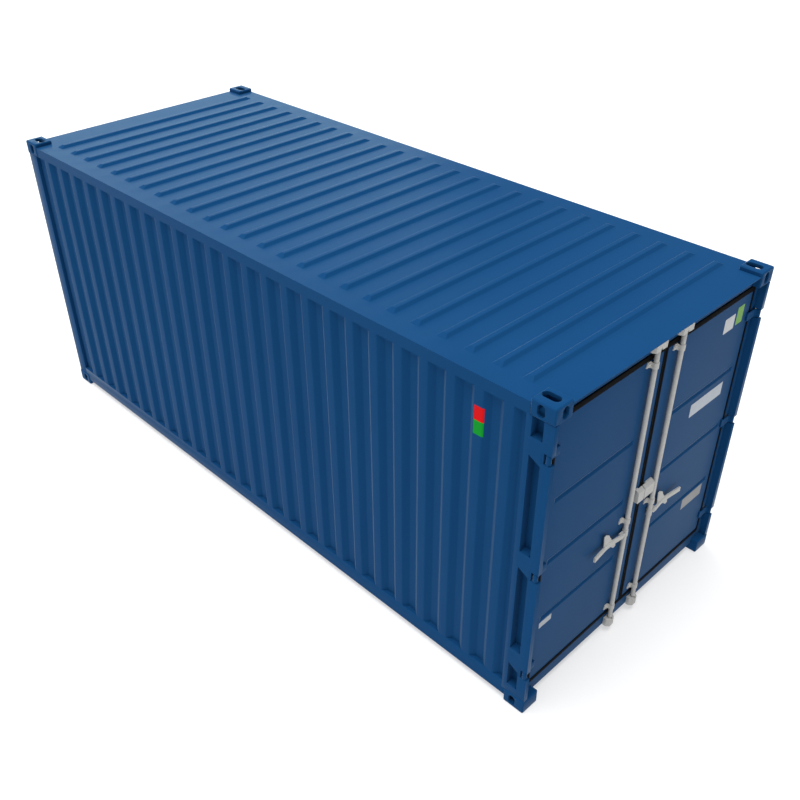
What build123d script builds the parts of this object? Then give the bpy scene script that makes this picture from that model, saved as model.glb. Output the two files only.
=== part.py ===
from build123d import *
import os

# Twenty-foot steel storage container with two hinged doors, in millimetres.
# X runs along the box with the doors at +X, Z is up, and the origin lies on the ground
# under the middle of the box. Left and right are as seen facing the doors from outside.

# Box size and corner castings
LENGTH = 6058
WIDTH = 2438
HEIGHT = 2591
HALF_LENGTH = LENGTH / 2
HALF_WIDTH = WIDTH / 2
CASTING_LENGTH = 178
CASTING_WIDTH = 162
CASTING_HEIGHT = 118
CASTING_EDGE = 8
CASTING_WALL = 20
CASTING_BACK = 12
CASTING_FLOOR = 28
APERTURE_PITCH_X = 5853
APERTURE_PITCH_Y = 2259
APERTURE_LENGTH = 124.5
APERTURE_WIDTH = 63.5
SIDE_APERTURE_HEIGHT = 84
SIDE_APERTURE_WIDTH = 56
SIDE_APERTURE_CUT = 17

# Faces of the box that stand inside the castings
SKIN_INSET = 6
SIDE_FACE = HALF_WIDTH - SKIN_INSET
END_FACE = HALF_LENGTH - SKIN_INSET
PLATE = 5
RAIL_WALL = 4

# Levels
RAIL_LOW = 52
SILL_LOW = 72
FLOOR_TOP = 172
WALL_LOW = 184
WALL_TOP = HEIGHT - CASTING_HEIGHT
ROOF_TOP = 2558
FLOOR_THICKNESS = 27

# Corrugated sheets
SHEET = 2
PITCH = 225
CREST = 72
SLOPE = 30
CORRUGATION_DEPTH = 30
SIDE_CRESTS = 25
END_CRESTS = 10

# Roof ribs
RIBS = 25
RIB_BASE = 80
RIB_TOP = 36
RIB_HEIGHT = 20
RIB_LENGTH = 2124
RIB_TOP_LENGTH = 2044

# Rails and cross members
TOP_RAIL_WIDTH = 60
BOTTOM_RAIL_FLANGE = 60
END_POST_SIDE = 125
END_POST_DEPTH = 100
CROSS_MEMBERS = 14
CROSS_MEMBER_WIDTH = 45
CROSS_MEMBER_HEIGHT = 85
CROSS_MEMBER_INSET = 20

# Door posts: a folded sheet with a recess in its side and a square nose beside the door
POST_REAR = 2826
RECESS_REAR = 2867
RECESS_DEPTH = 62
RECESS_FRONT_DEEP = 2938
POST_LEG = 2952
POST_NOSE = 3027
DOOR_STOP_X = 2968
DOOR_STOP_OUTER = 1176
DOOR_STOP_INNER = 1128
POST_FOOT_TOP = 190
BRIDGES = ((362, 556), (1266, 1442), (2155, 2330))
BRIDGE_SLANT = 46

# Door leaves
DOOR_FACE = 2970
LEAF_BACK = 2925
LEAF_OUTER = 1114
LEAF_INNER = 11
LEAF_LOW = 186
LEAF_TOP = 2458
LEAF_FRAME = 50
SWAGE_LEVELS = (782, 1300, 1811)
SWAGE_DEPTH = 9
SWAGE_HEIGHT = 46
SWAGE_FLAT = 10
SWAGE_INNER = 215
SWAGE_OUTER = 1050
GASKET_EDGE = 8
GASKET_FRONT = 2974
GASKET_BACK = 2942
GASKET_CORNER = 24
LIP_OUTER = 1100
LIP_INNER = 22
LIP_LOW = 212
LIP_TOP = 2425

# Header and sill
HEADER_FRONT = 2968
HEADER_LOW = 2472
HEADER_BACK = 2880
HEADER_EAVE = 3021
SILL_FRONT = 2968
SILL_BACK = 2890

# Hinges
HINGE_LEVELS = (375, 1298, 2225)
PIN_X = 3000
PIN_Y = 1200
PIN_RADIUS = 7
PIN_FLATS = 12
PIN_CLEARANCE = 0.3
KNUCKLE_RADIUS = 12
KNUCKLE_HEIGHT = 62
NOTCH_HEIGHT = 74
NOTCH_BACK = 2956
BLADE_FRONT = 2985
BLADE_BACK = 2977
BLADE_BEND = 1170
BLADE_END = 1074

# Locking bars, guides and keepers
BAR_X = 2995
BAR_Y = 152
BAR_RADIUS = 17
BAR_LOW = 141
BAR_TOP = 2498
BAR_TIP = 11
BAR_TIP_LOW = 122
BAR_TIP_TOP = 2513
GUIDE_LEVELS = (252, 1107, 2387)
GUIDE_BORE = 17.5
GUIDE_RING = 22
GUIDE_HEIGHT = 44
WING_THICKNESS = 9
WING_OUTLINE = ((-19, 22), (-36, 36), (-62, 37), (-74, -6), (-54, -4), (-19, -22))
KEEPER_FRONT = 3020
KEEPER_NOTCH = 18
SILL_KEEPER = (60, 136)
SILL_KEEPER_WIDTH = 84
SILL_KEEPER_NOSE = 44
SILL_KEEPER_SEAT = 116
HEADER_KEEPER = (2503, 2554)
HEADER_KEEPER_WIDTH = 150
HEADER_KEEPER_NOSE = 120
HEADER_KEEPER_SEAT = 2519

# Handles
HANDLE_LEVEL = 996
HANDLE_THICKNESS = 14
HANDLE_HEIGHT = 38
HANDLE_PIVOT = (2998, 196)
HANDLE_ROOT_END = 218
HANDLE_SEAT = (2986, 300)
HANDLE_KINK = (2986, 385)
HANDLE_END = (3003, 538)
HUB_RADIUS = 21
HUB_HEIGHT = 56
LUG_OUTER = 218
LUG_BACK = 2984
LUG_FRONT = 2997
PIVOT_RADIUS = 6
PIVOT_HEAD = 3
EAR_CENTRE = 331
EAR_LEVEL = 1012
EAR_BACK = 2989
EAR_THICKNESS = 6
EAR_OUTLINE = (
    (-90, 104),
    (-68, 112),
    (-29, 86),
    (-6, 38),
    (66, -30),
    (75, -76),
    (50, -80),
    (10, -46),
    (-30, -34),
    (-78, 4),
)
CRADLE_FRONT = 2980
CRADLE_WIDTH = 60
CRADLE_HEIGHT = 60

# Lock box over the meeting edges of the doors
BOX_LEFT = -76
BOX_RIGHT = 120
BOX_GAP = 6
BOX_BACK = 2980
BOX_FRONT = 3009
BOX_LOW = 1217
BOX_FRONT_TOP = 1306
BOX_BACK_TOP = 1326
BOX_WALL = 4
BOX_FOOT = 45

os.makedirs("parts", exist_ok=True)


def block(x, y, z, mode=Mode.ADD):
    """A block between two values on each axis, in the open part."""
    with Locations(((x[0] + x[1]) / 2, (y[0] + y[1]) / 2, (z[0] + z[1]) / 2)):
        Box(abs(x[1] - x[0]), abs(y[1] - y[0]), abs(z[1] - z[0]), mode=mode)


def outline(points):
    """A face with straight edges through the points, in the open sketch."""
    with BuildLine() as edge:
        Polyline(*points, close=True)
    make_face(edge.edges())


def folded_profile(points, thickness, side=Side.LEFT):
    """The section of a folded sheet: a run of flats with a thickness, in the open sketch."""
    with BuildLine() as section:
        flats = Polyline(*points)
        offset(flats, amount=thickness, side=side, kind=Kind.INTERSECTION)
    make_face(section.edges())


def corrugation(crests):
    """Points of a trapezoidal sheet, as (run, depth), with its crests at depth zero."""
    points = []
    for index in range(crests):
        middle = (index - (crests - 1) / 2) * PITCH
        points.append((middle - CREST / 2 - SLOPE, CORRUGATION_DEPTH))
        points.append((middle - CREST / 2, 0))
        points.append((middle + CREST / 2, 0))
        points.append((middle + CREST / 2 + SLOPE, CORRUGATION_DEPTH))
    return points


def pressing(base, top, height):
    """A block with four sloping sides, as a press tool leaves it, rising from the ground plane."""
    with BuildPart() as solid:
        with BuildSketch(Plane.XZ.offset(-base[1] / 2)):
            outline([(-base[0] / 2, 0), (base[0] / 2, 0), (top[0] / 2, height), (-top[0] / 2, height)])
        extrude(amount=base[1])
        with BuildSketch(Plane.YZ.offset(-base[0] / 2)):
            outline([(-base[1] / 2, 0), (base[1] / 2, 0), (top[1] / 2, height), (-top[1] / 2, height)])
        extrude(amount=base[0], mode=Mode.INTERSECT)
    return solid.part


def save(part, name):
    """Labels a finished piece and writes it."""
    part.label = name
    export_step(part, f"parts/{name}.step")


def save_pair(left, name):
    """Writes a left piece and its mirror image on the right."""
    save(left.part, f"left_{name}")
    with BuildPart() as right:
        mirror(left.part, about=Plane.XZ)
    save(right.part, f"right_{name}")


# Corner castings: hollow blocks with a long aperture in the level face and one in the side;
# the top ones have one in the end face too
aperture_x = APERTURE_PITCH_X / 2
aperture_y = APERTURE_PITCH_Y / 2
casting_inner_x = HALF_LENGTH - CASTING_LENGTH
casting_inner_y = HALF_WIDTH - CASTING_WIDTH
with BuildPart() as low_casting:
    block((casting_inner_x, HALF_LENGTH), (-HALF_WIDTH, -casting_inner_y), (0, CASTING_HEIGHT))
    chamfer(low_casting.edges(), CASTING_EDGE)
    block(
        (casting_inner_x + CASTING_BACK, HALF_LENGTH - CASTING_WALL),
        (-HALF_WIDTH + CASTING_WALL, -casting_inner_y - CASTING_BACK),
        (CASTING_FLOOR, CASTING_HEIGHT - CASTING_BACK),
        mode=Mode.SUBTRACT,
    )
    with BuildSketch(Plane.XY):
        with Locations((aperture_x, -aperture_y)):
            SlotOverall(APERTURE_LENGTH, APERTURE_WIDTH)
    extrude(amount=CASTING_FLOOR, mode=Mode.SUBTRACT)
    with BuildSketch(Plane.XZ.offset(HALF_WIDTH)) as side_aperture:
        with Locations((aperture_x, CASTING_HEIGHT / 2)):
            Rectangle(SIDE_APERTURE_WIDTH, SIDE_APERTURE_HEIGHT)
        chamfer(side_aperture.vertices(), SIDE_APERTURE_CUT)
    extrude(amount=-CASTING_WALL, mode=Mode.SUBTRACT)

with BuildPart() as top_casting:
    mirror(low_casting.part, about=Plane.XY.offset(HEIGHT / 2))
    with BuildSketch(Plane.YZ.offset(HALF_LENGTH)) as end_aperture:
        with Locations((-aperture_y, HEIGHT - CASTING_HEIGHT / 2)):
            Rectangle(SIDE_APERTURE_WIDTH, SIDE_APERTURE_HEIGHT)
        chamfer(end_aperture.vertices(), SIDE_APERTURE_CUT)
    extrude(amount=-CASTING_WALL, mode=Mode.SUBTRACT)

for level_name, casting in (("low", low_casting), ("top", top_casting)):
    save_pair(casting, f"door_casting_{level_name}")
    with BuildPart() as far_casting:
        mirror(casting.part, about=Plane.YZ)
    save_pair(far_casting, f"end_casting_{level_name}")

# Door posts: plates bridge the recess at each hinge, and a boxed notch in the nose holds each pin
recess_face = SIDE_FACE - RECESS_DEPTH
with BuildPart() as door_post:
    with BuildSketch(Plane.XY.offset(CASTING_HEIGHT)):
        folded_profile(
            [
                (POST_REAR, -SIDE_FACE),
                (RECESS_REAR, -SIDE_FACE),
                (RECESS_REAR, -recess_face),
                (RECESS_FRONT_DEEP, -recess_face),
                (POST_LEG, -SIDE_FACE),
                (POST_NOSE, -SIDE_FACE),
                (POST_NOSE, -DOOR_STOP_OUTER),
                (DOOR_STOP_X, -DOOR_STOP_OUTER),
                (DOOR_STOP_X, -DOOR_STOP_INNER),
            ],
            PLATE,
        )
    extrude(amount=HEIGHT - 2 * CASTING_HEIGHT)
    for low, high in BRIDGES:
        with BuildSketch(Plane.XZ.offset(SIDE_FACE)):
            outline([(RECESS_REAR, low + BRIDGE_SLANT), (POST_LEG, low), (POST_LEG, high), (RECESS_REAR, high)])
        extrude(amount=-PLATE)
    block((RECESS_REAR, POST_LEG), (-SIDE_FACE, -SIDE_FACE + PLATE), (CASTING_HEIGHT, POST_FOOT_TOP))
    for high in (POST_FOOT_TOP, *(bridge[1] for bridge in BRIDGES)):
        block((RECESS_REAR, RECESS_FRONT_DEEP), (-SIDE_FACE, -recess_face), (high - PLATE, high))
    for level in HINGE_LEVELS:
        block(
            (NOTCH_BACK - PLATE, POST_NOSE),
            (-SIDE_FACE, -DOOR_STOP_OUTER),
            (level - NOTCH_HEIGHT / 2 - PLATE, level + NOTCH_HEIGHT / 2 + PLATE),
        )
        block(
            (NOTCH_BACK, HALF_LENGTH),
            (-HALF_WIDTH, -DOOR_STOP_OUTER),
            (level - NOTCH_HEIGHT / 2, level + NOTCH_HEIGHT / 2),
            mode=Mode.SUBTRACT,
        )
save_pair(door_post, "door_post")

# Posts of the closed end: plain box sections
with BuildPart() as end_post:
    with BuildSketch(Plane.XY.offset(CASTING_HEIGHT)):
        with Locations((-END_FACE + END_POST_SIDE / 2, -SIDE_FACE + END_POST_DEPTH / 2)):
            Rectangle(END_POST_SIDE, END_POST_DEPTH)
            Rectangle(END_POST_SIDE - 2 * PLATE, END_POST_DEPTH - 2 * PLATE, mode=Mode.SUBTRACT)
    extrude(amount=HEIGHT - 2 * CASTING_HEIGHT)
save_pair(end_post, "end_post")

# Top side rails: box sections between the castings, under the edge of the roof sheet
rail_top = ROOF_TOP - SHEET
with BuildPart() as top_rail:
    with BuildSketch(Plane.YZ.offset(-casting_inner_x)):
        with Locations((-SIDE_FACE + TOP_RAIL_WIDTH / 2, (WALL_TOP + rail_top) / 2)):
            Rectangle(TOP_RAIL_WIDTH, rail_top - WALL_TOP)
            Rectangle(
                TOP_RAIL_WIDTH - 2 * RAIL_WALL, rail_top - WALL_TOP - 2 * RAIL_WALL, mode=Mode.SUBTRACT
            )
    extrude(amount=2 * casting_inner_x)
save_pair(top_rail, "top_side_rail")

# Bottom side rails: channels, open towards the floor
wall_rear = -END_FACE + END_POST_SIDE
end_half = SIDE_FACE - END_POST_DEPTH
with BuildPart() as bottom_rail:
    with BuildSketch(Plane.YZ.offset(wall_rear)):
        folded_profile(
            [
                (-SIDE_FACE + BOTTOM_RAIL_FLANGE, RAIL_LOW),
                (-SIDE_FACE, RAIL_LOW),
                (-SIDE_FACE, WALL_LOW),
                (-SIDE_FACE + BOTTOM_RAIL_FLANGE, WALL_LOW),
            ],
            RAIL_WALL,
            Side.RIGHT,
        )
    extrude(amount=casting_inner_x - wall_rear)
    block((wall_rear, -casting_inner_x), (-HALF_WIDTH, 0), (0, CASTING_HEIGHT), mode=Mode.SUBTRACT)
    block((POST_REAR, casting_inner_x), (-HALF_WIDTH, 0), (CASTING_HEIGHT, WALL_LOW), mode=Mode.SUBTRACT)
save_pair(bottom_rail, "bottom_side_rail")

# Rails of the closed end: a box section with a roof plate above, a channel below
with BuildPart() as end_top_rail:
    with BuildSketch(Plane.XZ.offset(-casting_inner_y)):
        with Locations((-END_FACE + TOP_RAIL_WIDTH / 2, (WALL_TOP + ROOF_TOP) / 2)):
            Rectangle(TOP_RAIL_WIDTH, ROOF_TOP - WALL_TOP)
            Rectangle(
                TOP_RAIL_WIDTH - 2 * RAIL_WALL, ROOF_TOP - WALL_TOP - 2 * RAIL_WALL, mode=Mode.SUBTRACT
            )
    extrude(amount=2 * casting_inner_y)
    block(
        (-END_FACE + TOP_RAIL_WIDTH, -casting_inner_x),
        (-casting_inner_y, casting_inner_y),
        (ROOF_TOP - RAIL_WALL, ROOF_TOP),
    )
save(end_top_rail.part, "end_top_rail")

with BuildPart() as end_bottom_rail:
    with BuildSketch(Plane.XZ.offset(-end_half)):
        folded_profile(
            [
                (-END_FACE + BOTTOM_RAIL_FLANGE, RAIL_LOW),
                (-END_FACE, RAIL_LOW),
                (-END_FACE, WALL_LOW),
                (-END_FACE + BOTTOM_RAIL_FLANGE, WALL_LOW),
            ],
            RAIL_WALL,
            Side.RIGHT,
        )
    extrude(amount=2 * end_half)
    for side in (-1, 1):
        block(
            (-END_FACE, -casting_inner_x),
            (side * casting_inner_y, side * HALF_WIDTH),
            (0, CASTING_HEIGHT),
            mode=Mode.SUBTRACT,
        )
save(end_bottom_rail.part, "end_bottom_rail")

# Door header: a box section whose top plate carries the roof on and reaches out over the doors
with BuildPart() as header:
    block((HEADER_BACK, HEADER_FRONT), (-casting_inner_y, casting_inner_y), (HEADER_LOW, ROOF_TOP))
    block(
        (HEADER_BACK + RAIL_WALL, HEADER_FRONT - RAIL_WALL),
        (-casting_inner_y, casting_inner_y),
        (HEADER_LOW + RAIL_WALL, ROOF_TOP - RAIL_WALL),
        mode=Mode.SUBTRACT,
    )
    block(
        (casting_inner_x, HEADER_EAVE), (-casting_inner_y, casting_inner_y), (ROOF_TOP - RAIL_WALL, ROOF_TOP)
    )
save(header.part, "door_header")

# Door sill: a box section over and between the lower castings, up to the stops of the posts
sill_half = DOOR_STOP_INNER
with BuildPart() as sill:
    block((SILL_BACK, SILL_FRONT), (-casting_inner_y, casting_inner_y), (SILL_LOW, FLOOR_TOP))
    block((SILL_BACK, SILL_FRONT), (-sill_half, sill_half), (CASTING_HEIGHT, FLOOR_TOP))
    block(
        (SILL_BACK + RAIL_WALL, SILL_FRONT - RAIL_WALL),
        (-casting_inner_y, casting_inner_y),
        (SILL_LOW + RAIL_WALL, FLOOR_TOP - RAIL_WALL),
        mode=Mode.SUBTRACT,
    )
save(sill.part, "door_sill")

# Corrugated walls
side_outline = [
    (wall_rear, CORRUGATION_DEPTH),
    *corrugation(SIDE_CRESTS),
    (POST_REAR, CORRUGATION_DEPTH),
]
with BuildPart() as side_wall:
    with BuildSketch(Plane.XY.offset(WALL_LOW)):
        folded_profile([(run, -SIDE_FACE + depth) for run, depth in side_outline], SHEET)
    extrude(amount=WALL_TOP - WALL_LOW)
save_pair(side_wall, "side_wall")

end_outline = [
    (-end_half, CORRUGATION_DEPTH),
    *corrugation(END_CRESTS),
    (end_half, CORRUGATION_DEPTH),
]
with BuildPart() as end_wall:
    with BuildSketch(Plane.XY.offset(WALL_LOW)):
        folded_profile([(-END_FACE + depth, run) for run, depth in end_outline], SHEET, Side.RIGHT)
    extrude(amount=WALL_TOP - WALL_LOW)
save(end_wall.part, "end_wall")

# Roof: one sheet with pressed cross ribs that stop short of the rails
rib = pressing((RIB_BASE, RIB_LENGTH), (RIB_TOP, RIB_TOP_LENGTH), RIB_HEIGHT)
rib_hollow = pressing(
    (RIB_BASE - 2 * SHEET, RIB_LENGTH - 2 * SHEET),
    (RIB_TOP - 2 * SHEET, RIB_TOP_LENGTH - 2 * SHEET),
    RIB_HEIGHT,
)
rib_places = [((index - (RIBS - 1) / 2) * PITCH, 0) for index in range(RIBS)]
with BuildPart() as roof:
    block((-casting_inner_x, casting_inner_x), (-SIDE_FACE, SIDE_FACE), (ROOF_TOP - SHEET, ROOF_TOP))
    with Locations([(x, y, ROOF_TOP) for x, y in rib_places]):
        add(rib)
    with Locations([(x, y, ROOF_TOP - SHEET) for x, y in rib_places]):
        add(rib_hollow, mode=Mode.SUBTRACT)
save(roof.part, "roof")

# Floor boards on cross members between the side rails
rail_inner = SIDE_FACE - RAIL_WALL
floor_half = SIDE_FACE - BOTTOM_RAIL_FLANGE
floor_low = FLOOR_TOP - FLOOR_THICKNESS
with BuildPart() as floor:
    block((wall_rear, POST_REAR), (-floor_half, floor_half), (floor_low, FLOOR_TOP))
    block((-END_FACE + BOTTOM_RAIL_FLANGE, wall_rear), (-end_half, end_half), (floor_low, FLOOR_TOP))
    block((POST_REAR, SILL_BACK), (-sill_half, sill_half), (floor_low, FLOOR_TOP))
save(floor.part, "floor")

first_member = -casting_inner_x + CROSS_MEMBER_INSET
member_pitch = (POST_REAR - CROSS_MEMBER_WIDTH - first_member) / (CROSS_MEMBERS - 1)
with BuildPart() as cross_members:
    for index in range(CROSS_MEMBERS):
        member_x = first_member + index * member_pitch
        with BuildSketch(Plane.XZ.offset(-rail_inner)):
            folded_profile(
                [
                    (member_x + CROSS_MEMBER_WIDTH, floor_low - CROSS_MEMBER_HEIGHT),
                    (member_x, floor_low - CROSS_MEMBER_HEIGHT),
                    (member_x, floor_low),
                    (member_x + CROSS_MEMBER_WIDTH, floor_low),
                ],
                RAIL_WALL,
                Side.RIGHT,
            )
        extrude(amount=2 * rail_inner)
save(cross_members.part, "cross_members")

# Hinge pins, held between the plates that close each notch
with BuildPart() as hinge_pins:
    for side in (-1, 1):
        for level in HINGE_LEVELS:
            with BuildSketch(Plane.XY.offset(level - NOTCH_HEIGHT / 2)):
                with Locations((PIN_X, side * PIN_Y)):
                    RegularPolygon(PIN_RADIUS, PIN_FLATS)
            extrude(amount=NOTCH_HEIGHT)
save(hinge_pins.part, "hinge_pins")


# Keepers: tapered blocks on the sill and the header, notched for the tips of the bars
def keeper(bar_y, levels, notch, width, nose):
    """One keeper round a bar. Its notch is open in front."""
    with BuildPart() as solid:
        with BuildSketch(Plane.XY.offset(levels[0])):
            outline(
                [
                    (SILL_FRONT, bar_y - width / 2),
                    (BAR_X, bar_y - width / 2),
                    (KEEPER_FRONT, bar_y - nose / 2),
                    (KEEPER_FRONT, bar_y + nose / 2),
                    (BAR_X, bar_y + width / 2),
                    (SILL_FRONT, bar_y + width / 2),
                ]
            )
        extrude(amount=levels[1] - levels[0])
        block(
            (BAR_X - KEEPER_NOTCH / 2, KEEPER_FRONT),
            (bar_y - KEEPER_NOTCH / 2, bar_y + KEEPER_NOTCH / 2),
            notch,
            mode=Mode.SUBTRACT,
        )
    return solid.part


sill_notch = (SILL_KEEPER_SEAT, SILL_KEEPER[1])
header_notch = (HEADER_KEEPER[0], HEADER_KEEPER_SEAT)
with BuildPart() as keepers:
    for bar_y in (-BAR_Y, BAR_Y):
        add(keeper(bar_y, SILL_KEEPER, sill_notch, SILL_KEEPER_WIDTH, SILL_KEEPER_NOSE))
        add(keeper(bar_y, HEADER_KEEPER, header_notch, HEADER_KEEPER_WIDTH, HEADER_KEEPER_NOSE))
save(keepers.part, "bar_keepers")

# Door leaves: a pressed face sheet over a welded tube frame
leaf_middle = -(LEAF_OUTER + LEAF_INNER) / 2
leaf_width = LEAF_OUTER - LEAF_INNER
leaf_level = (LEAF_LOW + LEAF_TOP) / 2
leaf_height = LEAF_TOP - LEAF_LOW
swage_middle = -(SWAGE_INNER + SWAGE_OUTER) / 2
swage_length = SWAGE_OUTER - SWAGE_INNER
swage_hollow = pressing(
    (SWAGE_HEIGHT, swage_length), (SWAGE_FLAT, swage_length - SWAGE_HEIGHT + SWAGE_FLAT), SWAGE_DEPTH
)
swage = pressing(
    (SWAGE_HEIGHT + 2 * SHEET, swage_length + 2 * SHEET),
    (SWAGE_FLAT + 2 * SHEET, swage_length - SWAGE_HEIGHT + SWAGE_FLAT + 2 * SHEET),
    SWAGE_DEPTH,
)
into_leaf = (0, -90, 0)
with BuildPart() as door_panel:
    block((DOOR_FACE - SHEET, DOOR_FACE), (-LEAF_OUTER, -LEAF_INNER), (LEAF_LOW, LEAF_TOP))
    for level in SWAGE_LEVELS:
        with Locations(Location((DOOR_FACE - SHEET, swage_middle, level), into_leaf)):
            add(swage)
        with Locations(Location((DOOR_FACE, swage_middle, level), into_leaf)):
            add(swage_hollow, mode=Mode.SUBTRACT)
save_pair(door_panel, "door_panel")

with BuildPart() as door_frame:
    with BuildSketch(Plane.YZ.offset(LEAF_BACK)):
        with Locations((leaf_middle, leaf_level)):
            Rectangle(leaf_width, leaf_height)
            Rectangle(leaf_width - 2 * LEAF_FRAME, leaf_height - 2 * LEAF_FRAME, mode=Mode.SUBTRACT)
    extrude(amount=DOOR_FACE - SHEET - LEAF_BACK)
save_pair(door_frame, "door_frame")

# Door gaskets: a rubber ring round the edge of each leaf with a lip over its face
lip_middle = -(LIP_OUTER + LIP_INNER) / 2
lip_level = (LIP_LOW + LIP_TOP) / 2
with BuildPart() as gasket:
    with BuildSketch(Plane.YZ.offset(GASKET_BACK)) as ring:
        with Locations((leaf_middle, leaf_level)):
            Rectangle(leaf_width + 2 * GASKET_EDGE, leaf_height + 2 * GASKET_EDGE)
        fillet(ring.vertices().group_by(Axis.X)[0], GASKET_CORNER)
    extrude(amount=GASKET_FRONT - GASKET_BACK)
    block((GASKET_BACK, DOOR_FACE), (-LEAF_OUTER, -LEAF_INNER), (LEAF_LOW, LEAF_TOP), mode=Mode.SUBTRACT)
    with BuildSketch(Plane.YZ.offset(DOOR_FACE)) as window:
        with Locations((lip_middle, lip_level)):
            Rectangle(LIP_OUTER - LIP_INNER, LIP_TOP - LIP_LOW)
        fillet(window.vertices().group_by(Axis.X)[0], GASKET_CORNER)
    extrude(amount=GASKET_FRONT - DOOR_FACE, mode=Mode.SUBTRACT)
save_pair(gasket, "door_gasket")

# Hinge blades: an eye on the pin and a strap across the gasket to a foot on the leaf
with BuildPart() as hinge_blades:
    for level in HINGE_LEVELS:
        with BuildSketch(Plane.XY.offset(level - KNUCKLE_HEIGHT / 2)):
            outline(
                [
                    (PIN_X, -PIN_Y + KNUCKLE_RADIUS),
                    (BLADE_FRONT, -BLADE_BEND),
                    (BLADE_FRONT, -BLADE_END),
                    (DOOR_FACE, -BLADE_END),
                    (DOOR_FACE, -LIP_OUTER),
                    (BLADE_BACK, -LIP_OUTER),
                    (BLADE_BACK, -BLADE_BEND),
                    (PIN_X - KNUCKLE_RADIUS, -PIN_Y),
                ]
            )
            with Locations((PIN_X, -PIN_Y)):
                Circle(KNUCKLE_RADIUS)
                Circle(PIN_RADIUS + PIN_CLEARANCE, mode=Mode.SUBTRACT)
        extrude(amount=KNUCKLE_HEIGHT)
save_pair(hinge_blades, "hinge_blades")

# Locking bars: a tube with a square tip at each end and a lugged hub for the handle
pivot_x, pivot_y = HANDLE_PIVOT
with BuildPart() as locking_bar:
    with Locations((BAR_X, -BAR_Y, (BAR_LOW + BAR_TOP) / 2)):
        Cylinder(BAR_RADIUS, BAR_TOP - BAR_LOW)
    with Locations((BAR_X, -BAR_Y, (BAR_TIP_LOW + BAR_TIP_TOP) / 2)):
        Box(BAR_TIP, BAR_TIP, BAR_TIP_TOP - BAR_TIP_LOW)
    with Locations((BAR_X, -BAR_Y, HANDLE_LEVEL)):
        Cylinder(HUB_RADIUS, HUB_HEIGHT)
    block(
        (LUG_BACK, LUG_FRONT),
        (-LUG_OUTER, -BAR_Y),
        (HANDLE_LEVEL - HANDLE_HEIGHT / 2, HANDLE_LEVEL + HANDLE_HEIGHT / 2),
    )
    with BuildSketch(Plane.YZ.offset(LUG_FRONT)):
        with Locations((-pivot_y, HANDLE_LEVEL)):
            Circle(PIVOT_RADIUS)
    extrude(amount=pivot_x + HANDLE_THICKNESS + PIVOT_HEAD - LUG_FRONT)
save_pair(locking_bar, "locking_bar")


# Handles: a flat bar with a round root, cranked to the leaf and out to the grip, and a plate with two ears
def handle(side):
    """One handle. The ears slant the same way on both doors."""
    with BuildPart() as lever:
        with BuildSketch(Plane.XY.offset(HANDLE_LEVEL - HANDLE_HEIGHT / 2)):
            folded_profile(
                [
                    (pivot_x, side * pivot_y),
                    (pivot_x, side * HANDLE_ROOT_END),
                    (HANDLE_SEAT[0], side * HANDLE_SEAT[1]),
                    (HANDLE_KINK[0], side * HANDLE_KINK[1]),
                    (HANDLE_END[0], side * HANDLE_END[1]),
                ],
                HANDLE_THICKNESS,
                Side.LEFT if side < 0 else Side.RIGHT,
            )
        extrude(amount=HANDLE_HEIGHT)
        with BuildSketch(Plane.YZ.offset(pivot_x)):
            with Locations((side * pivot_y, HANDLE_LEVEL)):
                Circle(HANDLE_HEIGHT / 2)
        extrude(amount=HANDLE_THICKNESS)
        with BuildSketch(Plane.YZ.offset(EAR_BACK)):
            outline([(side * EAR_CENTRE + across, EAR_LEVEL + up) for across, up in EAR_OUTLINE])
        extrude(amount=EAR_THICKNESS)
        with BuildSketch(Plane.YZ.offset(LUG_FRONT)):
            with Locations((side * pivot_y, HANDLE_LEVEL)):
                Circle(PIVOT_RADIUS + PIN_CLEARANCE)
        extrude(amount=HALF_LENGTH - LUG_FRONT, mode=Mode.SUBTRACT)
    return lever


save(handle(-1).part, "left_handle")
save(handle(1).part, "right_handle")


# Guides: straps bent round each bar, with a claw-shaped foot, and the cradle behind the handle
def bar_brackets(side):
    """The three bar guides and the handle cradle of one leaf. The wings all point left."""
    bar_y = side * BAR_Y
    with BuildPart() as brackets:
        for level in GUIDE_LEVELS:
            with BuildSketch(Plane.YZ.offset(DOOR_FACE)):
                outline([(bar_y + across, level + up) for across, up in WING_OUTLINE])
            extrude(amount=WING_THICKNESS)
            with BuildSketch(Plane.XY.offset(level - GUIDE_HEIGHT / 2)):
                for radius, mode in ((GUIDE_RING, Mode.ADD), (GUIDE_BORE, Mode.SUBTRACT)):
                    with Locations((BAR_X, bar_y)):
                        Circle(radius, mode=mode)
                    with Locations(((DOOR_FACE + BAR_X) / 2, bar_y)):
                        Rectangle(BAR_X - DOOR_FACE, 2 * radius, mode=mode)
            extrude(amount=GUIDE_HEIGHT)
        block(
            (DOOR_FACE, CRADLE_FRONT),
            (side * EAR_CENTRE - CRADLE_WIDTH / 2, side * EAR_CENTRE + CRADLE_WIDTH / 2),
            (HANDLE_LEVEL - CRADLE_HEIGHT / 2, HANDLE_LEVEL + CRADLE_HEIGHT / 2),
        )
    return brackets


save(bar_brackets(-1).part, "left_bar_brackets")
save(bar_brackets(1).part, "right_bar_brackets")


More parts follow.
